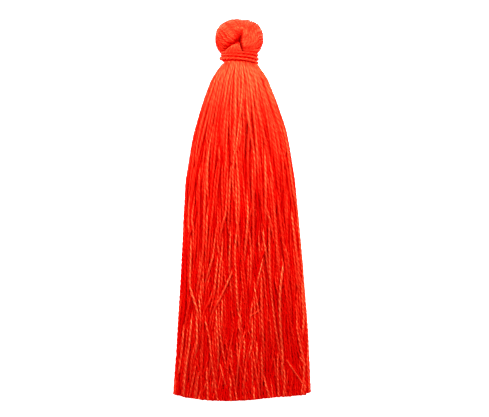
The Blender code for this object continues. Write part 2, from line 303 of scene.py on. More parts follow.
def tube_faces(count):
    """The triangles of one thread of count rings, and the ring and column of each corner."""
    grid = np.arange(count - 1)[:, None] * AROUND
    here, following = columns[None, :], (columns[None, :] + 1) % AROUND
    a, b = grid + here, grid + following
    c, d = a + AROUND, b + AROUND
    tri = np.stack([np.stack([a, d, c], -1), np.stack([a, b, d], -1)], 2)
    ring_of = np.arange(count - 1)[:, None] + 0 * here
    step = np.stack([
        np.stack([ring_of, ring_of + 1, ring_of + 1], -1),
        np.stack([ring_of, ring_of, ring_of + 1], -1),
    ], 2)
    column = 0 * grid + here
    around = np.stack([
        np.stack([column, column + 1, column], -1),
        np.stack([column, column + 1, column + 1], -1),
    ], 2)
    first, second = here[0], following[0]
    tail = (count - 1) * AROUND
    centre = 0 * first + count * AROUND
    start_cap = np.stack([second, first, centre], -1)
    end_cap = np.stack([tail + first, tail + second, centre + 1], -1)
    cap_around = np.stack([first + 1, first, first + 0.5], -1)
    cap_back = np.stack([first, first + 1, first + 0.5], -1)
    tri = np.concatenate([tri.reshape(-1, 3), start_cap, end_cap])
    step = np.concatenate([step.reshape(-1, 3), 0 * start_cap, 0 * end_cap + count - 1])
    around = np.concatenate([around.reshape(-1, 3), cap_around, cap_back]).astype(float)
    return tri, step, around


print("faces of a thread of two rings:", len(tube_faces(2)[0]))

# %% [markdown]
# A skein collects threads and knots them into one object. One mesh of many threads is far lighter
# than an object for each. The triangles are written straight into the mesh from whole tables.


# %% Collect threads into one mesh
class Skein:
    """Collects threads, then knots them into one mesh object."""

    def __init__(self, name, material, slot):
        self.name = name
        self.material = material
        self.slot = slot
        self.threads = []

    def add(self, centre, side, lift, radius, along, lot, swell=PLY_SWELL, pitch=PLY_PITCH):
        """centre, side and lift are one row a ring; radius and along are one value a ring.

        lot is the thread's tint and its own random number. The tint is one number for all of it,
        one for each ring, or one for each ring and column.
        """
        turn = column_angle[None, :] - along[:, None] * TAU / pitch + lot[1] * TAU
        swell = np.broadcast_to(swell, len(along))[:, None]
        shape = (1 - swell) + swell * np.cos(2 * turn)
        reach = radius[:, None] * shape
        ring = (
            centre[:, None, :]
            + (reach * np.cos(column_angle))[:, :, None] * side[:, None, :]
            + (reach * np.sin(column_angle))[:, :, None] * lift[:, None, :]
        )
        tint = np.asarray(lot[0], float)
        if tint.ndim < 2:
            tint = tint.reshape(-1, 1)
        lot = (np.broadcast_to(tint, (len(along), AROUND)), lot[1])
        self.threads.append((ring, centre[0], centre[-1], along, lot, pitch))

    def build(self):
        """Makes the mesh: split faces along each thread, a cap at both ends, and three maps."""
        places, corners, maps, bakes, lots, flat = [], [], [], [], [], []
        base = 0
        strips = len(self.threads)
        longest = max(abs(t[3][-1] - t[3][0]) for t in self.threads)
        for strip, (ring, first, last, along, lot, pitch) in enumerate(self.threads):
            count = len(along)
            tri, step, around = tube_faces(count)
            way = along[step]
            ply = around / AROUND - way / pitch + lot[1]
            gone = np.abs(way - along[0]) / longest
            gone[-2 * AROUND:-AROUND, 2] -= CAP_ROOM
            gone[-AROUND:, 2] += CAP_ROOM
            wide = (strip + STRIP_MARGIN + (1 - 2 * STRIP_MARGIN) * around / AROUND) / strips
            places.append(ring.reshape(-1, 3))
            places.append(np.stack([first, last]))
            corners.append(tri + base)
            maps.append(np.stack([ply, way], -1).reshape(-1, 2))
            high = STRIP_END + (1 - 2 * STRIP_END) * gone
            bakes.append(np.stack([wide, high], -1).reshape(-1, 2))
            tint = lot[0][step, around.astype(int) % AROUND]
            lots.append(np.stack([tint, 0 * tint + lot[1]], -1).reshape(-1, 2))
            flat.append(np.arange(len(tri)) >= len(tri) - 2 * AROUND)
            base += count * AROUND + 2
        places = np.concatenate(places) * MM
        corners = np.concatenate(corners).astype(np.int32)
        mesh = bpy.data.meshes.new(self.name)
        mesh.vertices.add(len(places))
        mesh.vertices.foreach_set("co", places.astype(np.float32).ravel())
        mesh.loops.add(corners.size)
        mesh.loops.foreach_set("vertex_index", corners.ravel())
        mesh.polygons.add(len(corners))
        mesh.polygons.foreach_set("loop_start", np.arange(0, corners.size, 3, dtype=np.int32))
        mesh.update(calc_edges=True)
        mesh.polygons.foreach_set("use_smooth", ~np.concatenate(flat))
        for title, values in (("OFBake", bakes), ("Ply", maps), ("Lot", lots)):
            layer = mesh.uv_layers.new(name=title, do_init=False)
            layer.uv.foreach_set("vector", np.concatenate(values).astype(np.float32).ravel())
        mesh.uv_layers.active = mesh.uv_layers["OFBake"]
        mesh.materials.append(self.material)
        mesh.update()
        piece = bpy.data.objects.new(self.name, mesh)
        bpy.context.scene.collection.objects.link(piece)
        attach(piece, "root")
        print(self.name, strips, "threads", len(corners), "triangles")
        return piece


# %% [markdown]
# ## The form of the skirt
# Cut across, the hank is round at the neck and becomes a low dome that lies flat on the table.
# Each row gives one such cut: its height up the tassel, its middle, half its width, how low and
# high it reaches, and how far it has turned from a circle into a dome. Cuts lie closer together
# near the neck, where the form changes fast.

# %% Cross-sections of the skirt
SECTIONS = np.array([
    (31.60, -0.42, 3.05, 1.45, 7.50, 0.00),
    (30.45, -0.42, 3.10, 1.40, 7.56, 0.00),
    (30.10, -0.41, 3.65, 1.15, 7.80, 0.00),
    (29.75, -0.40, 4.10, 0.95, 7.95, 0.00),
    (28.90, -0.40, 4.75, 0.70, 8.08, 0.00),
    (27.80, -0.40, 5.42, 0.48, 8.12, 0.00),
    (26.60, -0.40, 6.05, 0.32, 8.10, 0.00),
    (22.60, -0.42, 7.75, 0.00, 7.95, 0.45),
    (16.20, -0.20, 9.85, 0.00, 7.35, 0.90),
    (6.00, -0.27, 11.60, 0.00, 6.55, 1.00),
    (-12.00, 0.12, 12.90, 0.00, 5.55, 1.00),
    (-26.00, 0.25, 13.85, 0.00, 5.15, 1.00),
    (-40.60, 0.10, 14.70, 0.00, 4.80, 1.00),
])[::-1]
DOME_CREST = 0.45
NECK_CUTS = np.arange(31.6, 26.9, -0.4)
SKIRT_CUTS = np.arange(26.8, -41.2, -0.85)
levels = np.concatenate([NECK_CUTS, SKIRT_CUTS])


def section_at(y):
    """The five numbers of the cut at height y, each with y's own shape."""
    return [np.interp(y, SECTIONS[:, 0], SECTIONS[:, column]) for column in range(1, 6)]


def floor_and_roof(x, y):
    """The lowest and highest point of the hank over a spot on the table."""
    middle, half, low, high, flat = section_at(y)
    inside = np.clip(1 - ((x - middle) / half) ** 2, 1e-4, 1)
    arch = np.sqrt(inside) * (high - low) / 2
    centre = (high + low) / 2
    dome = high * inside**DOME_CREST
    return (1 - flat) * (centre - arch), (1 - flat) * (centre + arch) + flat * dome


print(len(levels), "cuts from the neck to the trimmed edge")

# %% [markdown]
# ## Laying the threads
# Every thread runs from the binding to the trimmed edge. At each cut the threads are discs that
# share the section, in the same order all the way down, because that is how a combed hank lies.
# Each one also wanders: a little everywhere, and more near the loose end, where threads cross and
# gather into locks. Nothing random is left unseeded.

# %% Let a thread wander
THREADS = 255
CONTACT_RADIUS = 0.272
rng = np.random.default_rng(11)


def wander(count, length):
    """Smooth noise down every thread, with a new value about each length."""
    knots = int(75 / length) + 4
    values = rng.normal(size=(knots, count))
    shift = rng.uniform(0, 1, count)
    at = (levels[0] - levels)[:, None] / length + shift[None, :]
    low = np.floor(at).astype(int)
    part = at - low
    ease = part * part * (3 - 2 * part)
    which = np.arange(count)[None, :]
    return values[low, which] * (1 - ease) + values[low + 1, which] * ease


print(THREADS, "threads, each a disc", 2 * CONTACT_RADIUS, "mm across")

# %% [markdown]
# The first places fill the section evenly, by the spiral that packs the seeds of a sunflower. Then
# the threads of a lock are shifted together, and each thread a little on its own.

# %% First places of the threads
LOCKS_ACROSS = 15
LOCKS_DEEP = 3
order = np.arange(THREADS)
spread = np.sqrt((order + 0.5) / THREADS)
golden = order * math.pi * (3 - math.sqrt(5))
across = spread * np.cos(golden)
upward = spread * np.sin(golden)
upward = (upward / np.sqrt(1 - across**2 + 1e-9) + 1) / 2
across = np.clip(1.05 * across, -1, 1)

y = levels[:, None]
thickness = np.interp(levels, [-41, 12, 22, 27, 29.8, 31.6], [1, 1, 0.96, 0.84, 0.72, 0.62])
contact = (CONTACT_RADIUS * thickness)[:, None]
middle, half, _, _, _ = section_at(y)
loose = np.interp(levels, [-40, -24, -12, 10, 20, 27, 31], [1.6, 1.3, 1.1, 0.8, 0.45, 0.12, 0])
loose = loose[:, None]
lock_of = np.floor(np.clip(across * 0.5 + 0.5, 0, 0.999) * LOCKS_ACROSS).astype(int) * LOCKS_DEEP
lock_of = lock_of + np.floor(np.clip(upward, 0, 0.999) * LOCKS_DEEP).astype(int)
locks = LOCKS_ACROSS * LOCKS_DEEP
restless = np.exp(rng.normal(0, 0.35, THREADS)) * (1 - 0.8 * across**4)
x = middle + (half - contact) * across[None, :]
lock_way = wander(locks, 22)[:, lock_of] * (1 - 0.8 * across**4)
x = x + loose * (lock_way + restless * (0.8 * wander(THREADS, 22) + 0.35 * wander(THREADS, 9)))
low, high = floor_and_roof(x, y)
z = low + contact + upward[None, :] * (high - low - 2 * contact)
z = z + loose * (0.8 * wander(locks, 16)[:, lock_of] + 0.55 * wander(THREADS, 11))
print(locks, "locks over", x.size, "discs")

# %% [markdown]
# A combed hank is not smooth on top. Long furrows run between its locks and follow the fan of the
# threads, and single threads lie deeper than their neighbours. Both lower the surface that holds
# the discs in, so real shadows fall there.

# %% An uneven surface
RELIEF = 0.8
OWN_RELIEF = 1.4
own_relief = OWN_RELIEF * (0.5 + 0.5 * np.tanh(1.3 * wander(THREADS, 13)))
relief_rng = np.random.default_rng(23)
FURROWS = 60
furrow_y = np.linspace(-45, 35, 11)
furrow_x = np.linspace(-16, 16, FURROWS)
furrow_depth = relief_rng.uniform(0, 1, (len(furrow_y), FURROWS))


def furrows(x, y):
    """0 to 1: how deep the hank's surface dips, in long strips that follow the fan of threads."""
    fanned = x * 13.5 / half
    across = np.clip((fanned - furrow_x[0]) / (furrow_x[1] - furrow_x[0]), 0, FURROWS - 1.001)
    down = np.clip((y - furrow_y[0]) / (furrow_y[1] - furrow_y[0]), 0, len(furrow_y) - 1.001)
    down = down + 0 * across
    column, row = across.astype(int), down.astype(int)
    part_x, part_y = across - column, down - row
    part_x, part_y = part_x**2 * (3 - 2 * part_x), part_y**2 * (3 - 2 * part_y)
    upper = furrow_depth[row, column] * (1 - part_x) + furrow_depth[row, column + 1] * part_x
    lower = furrow_depth[row + 1, column] * (1 - part_x) + furrow_depth[row + 1, column + 1] * part_x
    return upper * (1 - part_y) + lower * part_y


def held_inside(x, z):
    """The discs moved back to where the hank has room for them, under its uneven surface."""
    reach = half - contact
    x = middle + np.clip(x - middle, -reach, reach)
    low, high = floor_and_roof(middle + (x - middle) * 0.985, y)
    sunk = RELIEF * furrows(x - middle, y) + own_relief
    high = high - np.minimum(0.12 + loose, 1) * sunk
    return x, np.clip(z, low + contact, np.maximum(high - contact, low + contact))


mean_relief = float(own_relief.mean() + RELIEF * furrow_depth.mean())
print("mean relief where the hank is loose:", round(mean_relief, 2), "mm")

# %% [markdown]
# Discs that meet push each other apart, and each thread is drawn straight along its own length,
# over and over, while the floor and the hank's surface hold it in. This stands in for a simulation
# of hair or cloth. It knows nothing of weight or friction, but it takes seconds and gives the same
# threads each time.

# %% Settle the skirt
SWEEPS = 14
PULLS = 7
NEIGHBOURS = 12
PUSH = 0.4
STRAIGHTEN = 0.35
cut_rows = np.arange(len(levels))[:, None, None]
for sweep in range(SWEEPS):
    away = (x[:, :, None] - x[:, None, :]) ** 2 + (z[:, :, None] - z[:, None, :]) ** 2
    near = np.argpartition(away, NEIGHBOURS, axis=2)[:, :, :NEIGHBOURS]
    for pull in range(PULLS):
        near_x = x[:, :, None] - x[cut_rows, near]
        near_z = z[:, :, None] - z[cut_rows, near]
        apart = np.sqrt(near_x**2 + near_z**2) + 1e-5
        push = np.clip(2 * contact[:, :, None] - apart, 0, None) / apart * PUSH
        x = x + (push * near_x).sum(2)
        z = z + (push * near_z).sum(2)
        for axis in (x, z):
            axis[1:-1] += STRAIGHTEN * ((axis[:-2] + axis[2:]) / 2 - axis[1:-1])
        x, z = held_inside(x, z)
overlap = np.clip(2 * contact[:, :, None] - apart, 0, None) * (apart > 1e-4)
print("settled", THREADS, "threads, mean overlap of discs", round(float(overlap.mean()), 4), "mm")

# %% [markdown]
# ## Which stretches show
# A thread that dives under its neighbours needs few rings there. At every cut, each thread is
# looked at from above, from both sides and from below: it shows from a side if nothing lies in
# front of it. Rings are kept fine where it shows from above or beside, half as fine where only the
# table sees it, and sparse inside.


# %% Find what shows
IN_FRONT = 0.12
BELOW = ((1.4, 0.22), (-1.4, 0.22), (math.pi, 0.25), (2.4, 0.25), (-2.4, 0.25))


def shows(tilt, blur):
    """For each cut and thread, whether it is open to a viewer tilted this far from overhead."""
    sideways = x * math.cos(tilt) + z * math.sin(tilt)
    toward = z * math.cos(tilt) - x * math.sin(tilt)
    beside = np.abs(sideways[:, :, None] - sideways[:, None, :]) < blur
    before = toward[:, None, :] > toward[:, :, None] + IN_FRONT
    return ~(beside & before).any(2)


seen = shows(0, 0.2) | shows(0.7, 0.22) | shows(-0.7, 0.22)
under = np.any([shows(tilt, blur) for tilt, blur in BELOW], axis=0)


def widened(mask, reach):
    """The mask with each shown stretch made longer by some cuts at both ends."""
    for _ in range(reach):
        mask = mask | np.roll(mask, 1, 0) | np.roll(mask, -1, 0)
    return mask


seen = widened(seen, 1)
print("in sight from above or beside:", round(float(seen.mean()), 3), "of all thread")

# %% [markdown]
# The discs also tell how much light reaches each side of a thread. Every neighbour hides a part of
# the view as wide as it looks from there, and most where it stands straight ahead. The tint comes
# from this as painted shade, so a gap is deep red from any side and in any program.

# %% How open each side of a thread lies
NEIGHBOUR_REACH = 1.3


def openness(at_x, at_z, thread_radius):
    """How much of the light from each column's own side reaches each thread at one cut."""
    across = at_x[None, :] - at_x[:, None]
    upward = at_z[None, :] - at_z[:, None]
    apart = np.sqrt(across**2 + upward**2) + 1e-6
    width = 2 * np.arcsin(np.minimum(thread_radius / apart, 1)) * (apart < NEIGHBOUR_REACH)
    np.fill_diagonal(width, 0)
    ways = np.stack([-np.cos(column_angle), np.sin(column_angle)])
    ahead = (across / apart)[:, :, None] * ways[0] + (upward / apart)[:, :, None] * ways[1]
    return np.clip(1 - (width[:, :, None] * np.maximum(ahead, 0)).sum(1) / 2, 0, 1)


open_to_light = np.stack([
    openness(x[cut], z[cut], CONTACT_RADIUS * thickness[cut]) for cut in range(len(levels))
])
print("mean openness", round(float(open_to_light.mean()), 3))

# %% [markdown]
# ## Rings down the skirt
# The cuts are almost a millimetre apart, so a smooth curve is passed through them before the rings
# are placed. The threads are drawn thicker than their discs, and press into each other a little, so
# that no light shows between them. The trimmed edge is one arc with a slight tilt and a small bevel,
# and no two threads end quite level.


# %% Smooth curves through the cuts
def smooth_through(knots, values, at):
    """A cubic through the values at the knots, read at other places; knots fall."""
    slope = np.gradient(values, knots, axis=0)
    place = np.clip(np.searchsorted(-knots, -at, side="right") - 1, 0, len(knots) - 2)
    width = (knots[place + 1] - knots[place])[:, None]
    t = (at - knots[place])[:, None] / width
    first, second = values[place], values[place + 1]
    return (
        first * (1 + 2 * t) * (1 - t) ** 2
        + second * t * t * (3 - 2 * t)
        + slope[place] * width * t * (1 - t) ** 2
        - slope[place + 1] * width * t * t * (1 - t)
    )


CUT_LOWEST = -40.02
CUT_ASIDE = (-14.6, -11.6, -8.0, -3.0, 2.0, 7.0, 13.0, 14.6)
CUT_RISE = (1.35, 0.62, 0.20, 0.0, 0.27, 0.74, 1.12, 1.70)
CUT_BEVEL = 0.08
BEVEL_FROM = 4.8

rings = levels[0] - RING_STEP * np.arange(int((levels[0] - levels[-1]) / RING_STEP))
path_x = smooth_through(levels, x, rings)
path_z = smooth_through(levels, z, rings)
seen_at = smooth_through(levels, seen.astype(float), rings) > 0.25
under_at = smooth_through(levels, under.astype(float), rings) > 0.4
plump = np.interp(rings, [-41, 12, 20, 26, 31], [1.16, 1.18, 1.22, 1.34, 1.50])
ring_radius = CONTACT_RADIUS * plump * np.interp(rings, levels[::-1], thickness[::-1])
uneven = smooth_through(levels, 1 + 0.05 * wander(THREADS, 6), rings)
open_at = smooth_through(levels, open_to_light.reshape(len(levels), -1), rings)
open_at = np.clip(open_at, 0, 1).reshape(len(rings), THREADS, AROUND)
ends = CUT_LOWEST + np.interp(path_x[-1], CUT_ASIDE, CUT_RISE) + rng.uniform(0.0, 0.03, THREADS)
ends = ends - CUT_BEVEL * np.clip(BEVEL_FROM - path_z[-1], 0, BEVEL_FROM)
lots = np.stack([rng.uniform(0.1, 1, THREADS), rng.uniform(0, 1, THREADS)], 1)
pitches = rng.uniform(1.2, 1.9, THREADS)
sides = np.argsort(path_x[len(rings) // 2])
print(len(rings), "rings at most in one thread")

# %% [markdown]
# Now each thread gets its rings, its tint and its twist. Near the neck all threads share one tint
# and a weaker twist, because they are pulled tight there. Toward the loose end each has its own,
# and where its neighbours shut it in, the tint is darkened as painted shade. Six objects keep each
# mesh to a size that is easy to look at and to export.


# %% Spin the skirt threads
NECK_TINT = 0.72
OWN_TINT_BY = 40
SHADE_FROM = 4
SHADE_OVER = 16
SHUT_IN = 0.9


def spin(skein, i):
    """Adds skirt thread i to a skein, with rings only where they are needed."""
    last = int(np.searchsorted(-rings, -ends[i]))
    step = np.arange(last)
    keep = seen_at[:last, i] | (under_at[:last, i] & (step % 2 == 0)) | (step % 8 == 0)
    at = rings[:last][keep]
    centre = np.stack([path_x[:last, i][keep], at, path_z[:last, i][keep]], 1)
    centre[-1, 1] = ends[i]
    forward = np.gradient(centre, axis=0)
    forward /= np.linalg.norm(forward, axis=1)[:, None]
    side = np.cross(forward, [0.0, 0.0, 1.0])
    side /= np.linalg.norm(side, axis=1)[:, None]
    lift = np.cross(side, forward)
    along = rings[0] - centre[:, 1]
    reach = (ring_radius[:last] * uneven[:last, i])[keep]
    centre[:, 2] = np.maximum(centre[:, 2], reach)
    tint = NECK_TINT + (lots[i, 0] - NECK_TINT) * np.clip(along / OWN_TINT_BY, 0, 1)
    # painted shade: each side is darkened by how much its neighbours shut it in, more so away from the neck.
    shaded = np.clip((along - SHADE_FROM) / SHADE_OVER, 0.1, 1)[:, None]
    tint = tint[:, None] * (1 - SHUT_IN * (1 - open_at[:last, i][keep]) * shaded)
    lot = (tint, lots[i, 1])
    swell = PLY_SWELL * np.clip(0.4 + along / 75, 0, 1)
    skein.add(centre, side, lift, reach, along, lot, swell, PLY_PITCH * pitches[i])


SKIRT_PIECES = 6
skirt = []
for part, members in enumerate(np.array_split(sides, SKIRT_PIECES)):
    skein = Skein(f"skirt_threads_{part + 1}", skirt_silk, "silk_thread")
    for member in members:
        spin(skein, member)
    skirt.append(skein.build())

# %% [markdown]
# ## The ball
# Above the binding the folded hank swells into a ball, blunt at the crown and rounder below, with
# a shallow dip where its two halves meet. Between the halves is the eye, a slit that is deep but
# does not go through. The threads gather at its foot and fan out over both halves, so they are laid
# on the ball's surface along arcs that start inside the eye, pass over the shoulder of the ball and
# come down to the neck behind. The ball rests on the table, so nothing on it goes lower than that.

# %% Surface of the ball
BALL_X = -0.42
BALL_Y = 35.45
BALL_Z = 4.48
BALL_HALF = 5.1
BALL_DEPTH = 4.62
BALL_ABOVE = 4.25
BALL_BELOW = 4.6
BLUNT = 2 / 2.5
NECK_EDGE = -52.6
DIP_DEEP = 0.16
HEAD_RADIUS = 0.235
EYE_DEEP = 3.4
FOLD_DEEP = 0.54


def eye_depth(px, py, front):
    """How far the packed inside sinks: deep at the eye, and less under the fold to its left."""
    rise = np.clip((py - 33.3) / 3.6, 0, 1)
    middle = -0.12 - 0.20 * rise
    reach = 0.45 + 0.55 * rise
    eye = np.exp(-(((px - middle) / reach) ** 4)) * np.exp(-(((py - 34.9) / 1.8) ** 4))
    fold_y = np.interp(px, [-3.9, -2.75, -1.7, -0.8], [32.7, 33.8, 34.4, 34.9])
    fold = np.exp(-(((py - fold_y) / 0.55) ** 2)) * np.clip((-0.6 - px) / 0.5, 0, 1)
    return (EYE_DEEP * eye + FOLD_DEEP * fold) * np.clip(front * 3, 0, 1)


def on_ball(direction, sink, hollow=1.0):
    """Points on the ball along these directions, moved inward by sink."""
    unit = direction / np.linalg.norm(direction, axis=-1, keepdims=True)
    sine = np.clip(unit[..., 1], -1, 1)
    cosine = np.sqrt(1 - sine**2)
    above = sine > 0
    wide = BALL_HALF * np.where(above, cosine**BLUNT, cosine)
    tall = np.where(above, BALL_ABOVE * np.abs(sine) ** BLUNT, BALL_BELOW * sine)
    heading = np.arctan2(unit[..., 0], unit[..., 2])
    point = np.stack([
        wide * np.sin(heading),
        tall,
        wide * BALL_DEPTH / BALL_HALF * np.cos(heading),
    ], -1)
    radius = np.linalg.norm(point, axis=-1)
    px = point[..., 0] + BALL_X
    py = point[..., 1] + BALL_Y
    front = point[..., 2] / BALL_DEPTH
    groove = DIP_DEEP * np.exp(-(((px - 0.25) / 0.75) ** 2)) * np.clip((py - 36) / 2.5, 0, 1)
    inward = sink + hollow * eye_depth(px, py, front) + groove
    point = point * ((radius - inward) / radius)[..., None]
    point = point + np.array([BALL_X, BALL_Y, BALL_Z])
    point[..., 2] = np.maximum(point[..., 2], HEAD_RADIUS)
    return point


def toward(heading, latitude):
    """A unit direction from a compass heading off the front and a latitude, in degrees."""
    heading, latitude = math.radians(heading), math.radians(latitude)
    return np.array([
        math.sin(heading) * math.cos(latitude),
        math.sin(latitude),
        math.cos(heading) * math.cos(latitude),
    ])


def front_spot(px, py):
    """The direction of the ball's surface over a spot, for points in front."""
    up = py - BALL_Y
    sine = (up / BALL_ABOVE) ** (1 / BLUNT) if up > 0 else up / BALL_BELOW
    sine = min(max(sine, -0.999), 0.999)
    cosine = math.sqrt(1 - sine**2)
    wide = BALL_HALF * (cosine**BLUNT if up > 0 else cosine)
    aside = min(max((px - BALL_X) / wide, -0.999), 0.999)
    return np.array([aside * cosine, sine, math.sqrt(1 - aside**2) * cosine])


print("crown at", on_ball(toward(0, 89.9), 0.0).round(2))

# %% [markdown]
# A thread on the ball keeps turning, so its cross-section needs a frame that turns with it and
# never flips. Each ring takes the frame of the ring before it and removes what has become
# parallel to the thread, which is the usual way to carry a frame along a curve.


# %% Lay threads along any path
def even_rings(path, step):
    """The path resampled to an even spacing, and the distance to each new point."""
    lengths = np.linalg.norm(np.diff(path, axis=0), axis=1)
    reached = np.concatenate([[0], np.cumsum(lengths)])
    along = np.arange(0, reached[-1], step)
    if reached[-1] - along[-1] < step / 2:
        along = along[:-1]
    along = np.append(along, reached[-1])
    return np.stack([np.interp(along, reached, path[:, k]) for k in range(3)], 1), along


def lay(skein, path, radius, lot, swell=PLY_SWELL, pitch=PLY_PITCH, step=RING_STEP):
    """Adds one thread along a path; radius and tint are one number, or some along the way."""
    centre, along = even_rings(np.asarray(path, float), step)
    forward = np.gradient(centre, axis=0)
    forward /= np.linalg.norm(forward, axis=1)[:, None]
    side = np.zeros_like(forward)
    carried = np.cross(forward[0], [0.31, 0.22, 0.92])
    for ring, ahead in enumerate(forward):
        carried = carried - ahead * carried.dot(ahead)
        carried = carried / math.sqrt(carried.dot(carried))
        side[ring] = carried
    lift = np.cross(side, forward)
    share = along / along[-1]
    thick, tint = (
        np.interp(share, np.linspace(0, 1, np.size(values)), np.atleast_1d(values))
        for values in (radius, lot[0])
    )
    skein.add(centre, side, lift, thick, along, (tint, lot[1]), swell, pitch)


def threaded(directions, count):
    """Directions along a smooth way through all the given ones."""
    knots = np.array([directions[0], *directions, directions[-1]])
    stretches = len(directions) - 1
    at = np.linspace(0, stretches, count)
    place = np.minimum(at.astype(int), stretches - 1)
    t = (at - place)[:, None]
    before, here, there, after = (knots[place + k] for k in range(4))
    return 0.5 * (
        2 * here + (there - before) * t + (2 * before - 5 * here + 4 * there - after) * t * t
        + (3 * here - before - 3 * there + after) * t**3
    )


def between(points, share):
    """A point a share of the way along a row of points."""
    points = np.array(points, float)
    at = share * (len(points) - 1)
    place = min(int(at), len(points) - 2)
    return points[place] + (points[place + 1] - points[place]) * (at - place)


one_mm = even_rings(np.array([[0, 0, 0], [0, 1.0, 0]]), RING_STEP)[1]
print("a path of 1 mm gets", len(one_mm), "rings")


# %% [markdown]
# The outer threads of the ball part here and there, so a layer of threads lies under them, from the
# neck up toward the crown, in the darker silk that paints the shade inside. Little of it shows, and
# its rings are twice as far apart.

# %% Pack the inside of the ball
UNDER_RUNS = 52
UNDER_POINTS = 40

head_rng = np.random.default_rng(5)
under_ball = Skein("ball_inner_threads", shaded_inner_silk, "silk_thread")
for run in range(UNDER_RUNS):
    heading = 360 * (run + head_rng.uniform(-0.2, 0.2)) / UNDER_RUNS
    reach = head_rng.uniform(52, 84)
    latitudes = np.linspace(NECK_EDGE, reach, UNDER_POINTS)
    leans = 14 * np.linspace(0, 1, UNDER_POINTS) ** 2
    way = np.array([toward(heading + lean, high) for lean, high in zip(leans, latitudes)])
    body = on_ball(way, HEAD_RADIUS + 0.40 + head_rng.uniform(0, 0.08))
    foot = body[0] - np.array([0, 1.0, 0]) * np.linspace(1.0, 0.1, 4)[:, None]
    own = head_rng.uniform(0, 1, 2)
    lay(under_ball, np.concatenate([foot, body]), [0.17, 0.2, HEAD_RADIUS, 0.2], own, step=2 * RING_STEP)
ball_inner = under_ball.build()

# %% [markdown]
# The left half of the ball folds over: its threads come up the back, cross the shoulder, run down
# and to the right, and tuck under along a line from the top of the eye to the binding. The right
# half is drawn out of the foot of the eye: its threads start there, sweep round to the right and
# up, and go over the crown and down the back. On the left side, below the end of the fold, a few
# short threads in ever smaller bows close what the two halves leave open.

# %% Lay the two halves of the ball
FOLD_LINE = (
    (0.42, 36.35), (0.24, 36.32), (-0.08, 36.10), (-0.40, 35.65), (-0.60, 35.15),
    (-1.00, 34.66), (-1.60, 34.24), (-2.35, 33.78), (-3.20, 33.15), (-3.95, 32.45),
)
BANK_LINE = ((0.55, 36.90), (0.50, 35.90), (0.25, 34.80), (0.08, 34.00), (0.10, 33.20), (0.30, 32.30))
SWEEP_LOW = ((0.70, 37.80), (1.00, 36.60), (1.60, 35.50), (2.50, 34.80), (3.00, 33.60), (2.40, 32.25))
SWEEP_HIGH = ((0.55, 38.80), (1.30, 38.30), (2.60, 37.60), (3.60, 36.70), (4.30, 34.70), (4.00, 32.45))
FOLD_RUNS = 42
SWEEP_RUNS = 42
SIDE_RUNS = 10
TUCK_DEPTH = 3.8
STREAK_LEAN = np.array([-0.47, 0.88])
TUCK_LENGTH = ((0, 0.15, 0.45, 1), (0.09, 0.12, 0.15, 0.10))
LAYER_STEP = 0.20
WAY_POINTS = 120


def over_ball(directions, tuck_share, tuck_depth, low, layer):
    """One thread over the ball: it starts tucked in, and ends under the binding."""
    way = threaded(directions, WAY_POINTS)
    share = np.linspace(0, 1, WAY_POINTS)
    tucked = np.clip(1 - share / tuck_share, 0, 1) ** 1.8
    sink = HEAD_RADIUS * 0.9 + layer * LAYER_STEP + head_rng.uniform(0, 0.10)
    body = on_ball(way, sink + tucked * tuck_depth, 0.0)
    foot = body[-1] - np.array([0, 1.0, 0]) * np.linspace(0.1, 1.0, 4)[:, None]
    path = np.concatenate([body, foot])
    radius = HEAD_RADIUS * head_rng.uniform(0.9, 1.08)
    # painted shade: the lower layer, the lower end of each half and the stretch tucked into the eye or under
    # the fold are drawn darker.
    tint = head_rng.uniform(0.55, 1) - (0.45 + 0.15 * low) * layer - 0.3 * max(0, 2 * low - 1)
    lot = (tint * (1 - np.minimum((2.4 - 1.2 * low) * tucked, 1)), head_rng.uniform(0, 1))
    lay(ball_skein, path, [0.2, radius, radius, radius, radius, 0.17], lot, 0.12)


ball_skein = Skein("ball_threads", ball_silk, "silk_thread")
for run in range(FOLD_RUNS):
    share = (run + 0.5 + head_rng.uniform(-0.3, 0.3)) / FOLD_RUNS
    tucks_at = between(FOLD_LINE, share) + np.array([0.5, -0.87]) * head_rng.uniform(-0.3, 0.35)
    above = tucks_at + STREAK_LEAN * [min(1, 3 * share), 1] * (3.4 - 1.2 * share**3)
    shoulder = toward(-20 - 66 * min(1, 4 * share), 86 - 84 * share)
    over_ball([
        front_spot(*tucks_at),
        0.45 * front_spot(*above) + 0.55 * shoulder,
        toward(-176 + 76 * share, 50 - 84 * share),
        toward(-176 + 78 * share, NECK_EDGE),
    ], float(np.interp(share, *TUCK_LENGTH)), TUCK_DEPTH * (1 - 0.85 * share), share, run % 2)
for run in range(SWEEP_RUNS):
    share = (run + 0.5 + head_rng.uniform(-0.3, 0.3)) / SWEEP_RUNS
    over_ball([
        front_spot(*between(BANK_LINE, share)),
        front_spot(*between(SWEEP_LOW, share)),
        front_spot(*between(SWEEP_HIGH, share)),
        toward(176 - 76 * share, 66 - 100 * share),
        toward(178 - 74 * share, NECK_EDGE),
    ], 0.05, TUCK_DEPTH, share, run % 2)
for run in range(SIDE_RUNS):
    share = (run + 0.5) / SIDE_RUNS
    over_ball([
        front_spot(*FOLD_LINE[-1]),
        toward(-84, -4 - 34 * share),
        toward(-98 + 8 * share, -36 - 10 * share),
        toward(-98 + 10 * share, NECK_EDGE),
    ], 0.15, TUCK_DEPTH * 0.15, 1.0, run % 2)
ball = ball_skein.build()

# %% [markdown]
# A real hank is thread all through. Here a gap between two layers could still look through to
# nothing, so the ball and the skirt have a core each, which stands in for the threads deep inside.
# Each follows the surface deeper down, in the darker silk that paints the shade deep inside.


